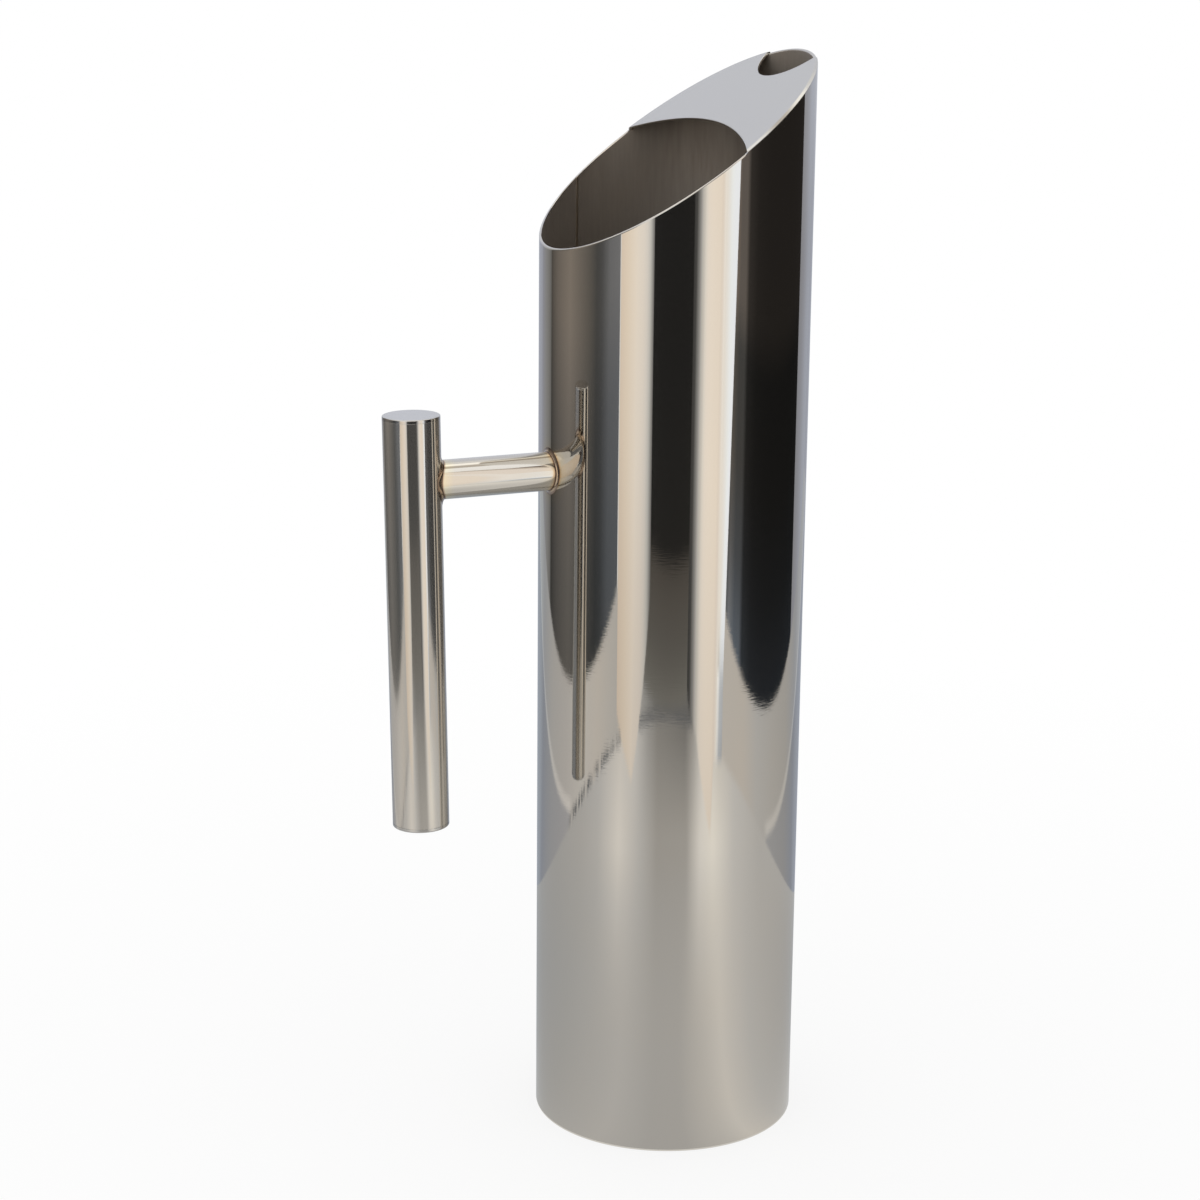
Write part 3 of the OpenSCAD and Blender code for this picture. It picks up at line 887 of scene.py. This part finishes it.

# Turntable and table round the foot, painted by bearing: 0 is towards the camera and + to its right
# their tones are painted light and shade: pools of light under the lit panels, and shade between them and
# at the front
tableSettings = {
    "toward": 165, "right": -9, "radius": 378, "rim": 18, "spread": 4.2, "dashPitch": 20.0,
    "rimShade": "#EEF4FF", "rimTone": 0.25,
    # how strongly the shade under its edge shows, at the front and to the left
    "rimFront": [(-36, white, 0.0), (-25.2, white, 1.0), (14.4, white, 1.0), (21.6, white, 0.0)],
    "rimLeft": [(-93.6, white, 0.0), (-86.4, white, 1.0), (-50.4, white, 1.0), (-39.6, white, 0.5),
                (-28.8, white, 0.0)],
    # mm from the pitcher over which its tones change
    "footToRim": (110, 340), "footToRimBend": 1.8, "rimToEdge": (360, 515),
    "nearFoot": [(-160, "#F1F8FF", 0.61), (-118, "#F8FBFF", 0.7), (-84, "#FBFDFF", 0.75),
                 (-33, white, 0.87), (-8, white, 0.765), (10, white, 0.77), (30, "#FFFDFA", 0.97),
                 (43, "#FFFCF8", 1.14), (69, white, 0.92), (111, white, 0.76), (147, "#F8FBFF", 0.64)],
    "nearRim": [(-107, "#FBFDFF", 0.73), (-76, white, 0.8), (-60, white, 0.9), (-41, "#FFFCF8", 1.31),
                (-23, white, 0.92), (-9, "#FFFDFA", 0.68), (15, "#FFFDFA", 0.7), (26, "#FFFDFA", 1.34),
                (37, "#FFFCF6", 1.5), (56, white, 1.05), (82, white, 0.87)],
    "atRim": [(-107, "#FBFDFF", 0.73), (-76, white, 0.8), (-60, white, 0.9), (-41, "#FFFCF8", 1.15),
              (-28, white, 1.08), (-18, white, 0.66), (-10, "#FFFDFA", 0.48), (13, "#FFFDFA", 0.37),
              (20, "#FFFDFA", 0.7), (29, "#FFFDFA", 1.36), (42, "#FFFCF6", 1.1), (56, white, 1.0),
              (82, white, 0.87)],
    "beyond": [(-147, "#F1F8FF", 0.74), (-139, "#F1F6FF", 0.64), (-119, white, 0.72),
               (-97, "#FFFCFA", 0.82), (-78, "#FFFCF8", 0.97), (-63, "#FFF9F2", 0.98),
               (-50, "#FFFCF8", 0.88), (-25, white, 0.7), (-18, white, 0.48), (-12, white, 0.33),
               (15, white, 0.27), (19, white, 0.4), (25, "#FFFCF8", 0.95), (64, "#FFF9F2", 0.97),
               (79, white, 0.85), (99, "#FFFDFA", 0.78), (118, "#FFFDFA", 0.7), (136, "#F1F6FF", 0.64),
               (143, "#F1F6FF", 0.73)],
    # a dull sheet lies behind the turntable, with bright edges to the left and right
    "sheet": [(-390, white, 1.0), (-383, white, 1.3), (-371, white, 1.3), (-364, "#F2F6FF", 0.88),
              (334, "#F2F6FF", 0.88), (341, white, 1.28), (353, white, 1.28), (360, white, 1.0)],
}


def bearingAndPlace(tree):
    # the bearing round the pitcher as a share from 0 to 1, the place in mm, and how far that is to the
    # camera's right and towards the camera
    ahead, side = cameraSides()
    place = placeInMm(tree)
    toward, right = (addNode(tree, "ShaderNodeVectorMath", {1: way}, {0: place},
                             operation="DOT_PRODUCT").outputs["Value"] for way in (ahead, side))
    bearing = addNode(tree, "ShaderNodeMath", links={0: right, 1: toward}, operation="ARCTAN2")
    share = addNode(tree, "ShaderNodeMapRange", {"From Min": -math.pi, "From Max": math.pi},
                    {"Value": bearing})
    return share.outputs[0], place, right, toward


def makeTurntable(s):
    bm = bmesh.new()
    bmesh.ops.create_circle(bm, cap_ends=True, segments=160, radius=s["radius"] * metresPerMm,
                            matrix=Matrix.Translation(spot(s["right"], s["toward"], 0.6)))

    def paint(tree):
        bearing, place, _, _ = bearingAndPlace(tree)
        reach = distanceFromAxis(tree, place)
        out, last = (addNode(tree, "ShaderNodeMapRange", {"From Min": low, "From Max": high},
                             {"Value": reach}) for low, high in (s["footToRim"], s["rimToEdge"]))
        bent = addNode(tree, "ShaderNodeMath", {1: s["footToRimBend"]}, {0: out}, operation="POWER")
        # painted light and shade by bearing: near the foot, near the rim and at the rim
        foot, rim, edge = (rampOf(tree, bearing, s[k], -180, 360) for k in ("nearFoot", "nearRim", "atRim"))
        return mixOf(tree, last, mixOf(tree, bent, foot, rim), edge)

    addBoard("turntable", bm, paint)


def makeTable(s):
    # the table round the turntable, a ring trimmed to the table's edges, with the backdrop's foot on it
    bm = bmesh.new()
    middle = spot(s["right"], s["toward"], 0.5)
    inner = bmesh.ops.create_circle(bm, segments=160, radius=s["radius"] * metresPerMm,
                                    matrix=Matrix.Translation(middle))["verts"]
    grown = bmesh.ops.extrude_edge_only(bm, edges=edgesOf(inner))
    outer = [g for g in grown["geom"] if isinstance(g, bmesh.types.BMVert)]
    bmesh.ops.scale(bm, verts=outer, vec=(s["spread"], s["spread"], 1), space=Matrix.Translation(-middle))
    for edge, away in (((roomLeft, 0, 0), (-1, 0, 0)), ((roomRight, 0, 0), (1, 0, 0)),
                       ((0, tableEdge, 0), (0, 1, 0)), ((0, roomBack, 0), (0, -1, 0))):
        bmesh.ops.bisect_plane(bm, geom=bm.verts[:] + bm.edges[:] + bm.faces[:], plane_co=spot(*edge),
                               plane_no=spot(*away), clear_outer=True)

    def paint(tree):
        bearing, place, right, toward = bearingAndPlace(tree)
        # painted light and shade by bearing: lit under the panels, in shade at the front
        around = rampOf(tree, bearing, s["beyond"], -180, 360)
        aside = addNode(tree, "ShaderNodeMapRange", {"From Min": -500, "From Max": 500}, {"Value": right})
        stripes = rampOf(tree, aside, s["sheet"], -500, 1000)
        behind = addNode(tree, "ShaderNodeMapRange", {"From Min": 15, "From Max": -15}, {"Value": toward})
        plain = mixOf(tree, behind, around, stripes, "MULTIPLY")
        # thin shade under the turntable's edge, plain to see at the front only
        middle = spot(s["right"], s["toward"], 0) / metresPerMm
        fromMiddle = addNode(tree, "ShaderNodeVectorMath", {1: middle}, {0: place}, operation="SUBTRACT")
        end = s["radius"] + s["rim"]
        edge = addNode(tree, "ShaderNodeMapRange", {"From Min": end, "From Max": end - 5},
                       {"Value": distanceFromAxis(tree, fromMiddle)})
        front, left = (rampOf(tree, bearing, s[k], -180, 360) for k in ("rimFront", "rimLeft"))
        # to the left it shows as broken dashes
        dashes = addNode(tree, "ShaderNodeMapRange", {"From Min": 0.44, "From Max": 0.52},
                         {"Value": stretchedNoise(tree, place, (s["dashPitch"],) * 3)})
        broken = addNode(tree, "ShaderNodeMath", links={0: left, 1: dashes}, operation="MULTIPLY")
        both = addNode(tree, "ShaderNodeMath", links={0: front, 1: broken}, operation="ADD",
                       use_clamp=True)
        amount = addNode(tree, "ShaderNodeMath", links={0: edge, 1: both}, operation="MULTIPLY")
        tone = addNode(tree, "ShaderNodeRGB")
        tone.outputs[0].default_value = linearColour(s["rimShade"], s["rimTone"])
        return mixOf(tree, amount, plain, tone)

    addBoard("table", bm, paint)


makeTurntable(tableSettings)
makeTable(tableSettings)


def makeFloor(s):
    # plain pale floor: white where nothing shades it, with the pitcher's soft shadow under the foot
    bm = bmesh.new()
    bmesh.ops.create_grid(bm, x_segments=8, y_segments=8, size=s["floorSize"])
    bmesh.ops.translate(bm, verts=bm.verts, vec=(0, 0, -s["floorDrop"]))
    mesh = bpy.data.meshes.new("floor")
    bm.to_mesh(mesh)
    bm.free()
    material = bpy.data.materials.new("paleFloor")
    material.use_nodes = True
    tree = material.node_tree
    tree.nodes.clear()
    path = addNode(tree, "ShaderNodeLightPath")
    camera, glossy, through = (path.outputs[f"Is {k} Ray"] for k in ("Camera", "Glossy", "Transmission"))
    seen = addNode(tree, "ShaderNodeMath", links={0: camera, 1: glossy}, operation="ADD")
    seenAll = addNode(tree, "ShaderNodeMath", links={0: seen, 1: through}, operation="ADD",
                      use_clamp=True)
    coords = addNode(tree, "ShaderNodeTexCoord")
    far = addNode(tree, "ShaderNodeVectorMath", links={0: coords.outputs["Object"]}, operation="LENGTH")
    near, gone = s["shadowReach"]
    share = addNode(tree, "ShaderNodeMapRange", {"From Min": near, "From Max": gone,
                    "To Min": 1 - s["shadowShare"], "To Max": 1.0}, {"Value": far.outputs["Value"]})
    mixed = addNode(tree, "ShaderNodeMath", links={0: seenAll, 1: share}, operation="MULTIPLY")
    matt = addNode(tree, "ShaderNodeBsdfDiffuse", {"Color": linearColour("#F4F4F4")})
    plain = addNode(tree, "ShaderNodeEmission", {"Color": linearColour(white), "Strength": 1.0})
    both = addNode(tree, "ShaderNodeMixShader", links={0: mixed, 1: matt, 2: plain})
    addNode(tree, "ShaderNodeOutputMaterial", links={"Surface": both})
    mesh.materials.append(material)
    floor = bpy.data.objects.new("floor", mesh)
    bpy.context.scene.collection.objects.link(floor)


makeFloor(studioSettings)


def makeWorld():
    world = bpy.data.worlds.new("studio")
    world.use_nodes = True
    tree = world.node_tree
    tree.nodes.clear()
    sky = addNode(tree, "ShaderNodeBackground", {"Color": linearColour(white), "Strength": 1.0})
    addNode(tree, "ShaderNodeOutputWorld", links={"Surface": sky})
    bpy.context.scene.world = world


makeWorld()
view = bpy.context.scene.view_settings
view.view_transform = "Standard"
print("pitcher: studio lit")
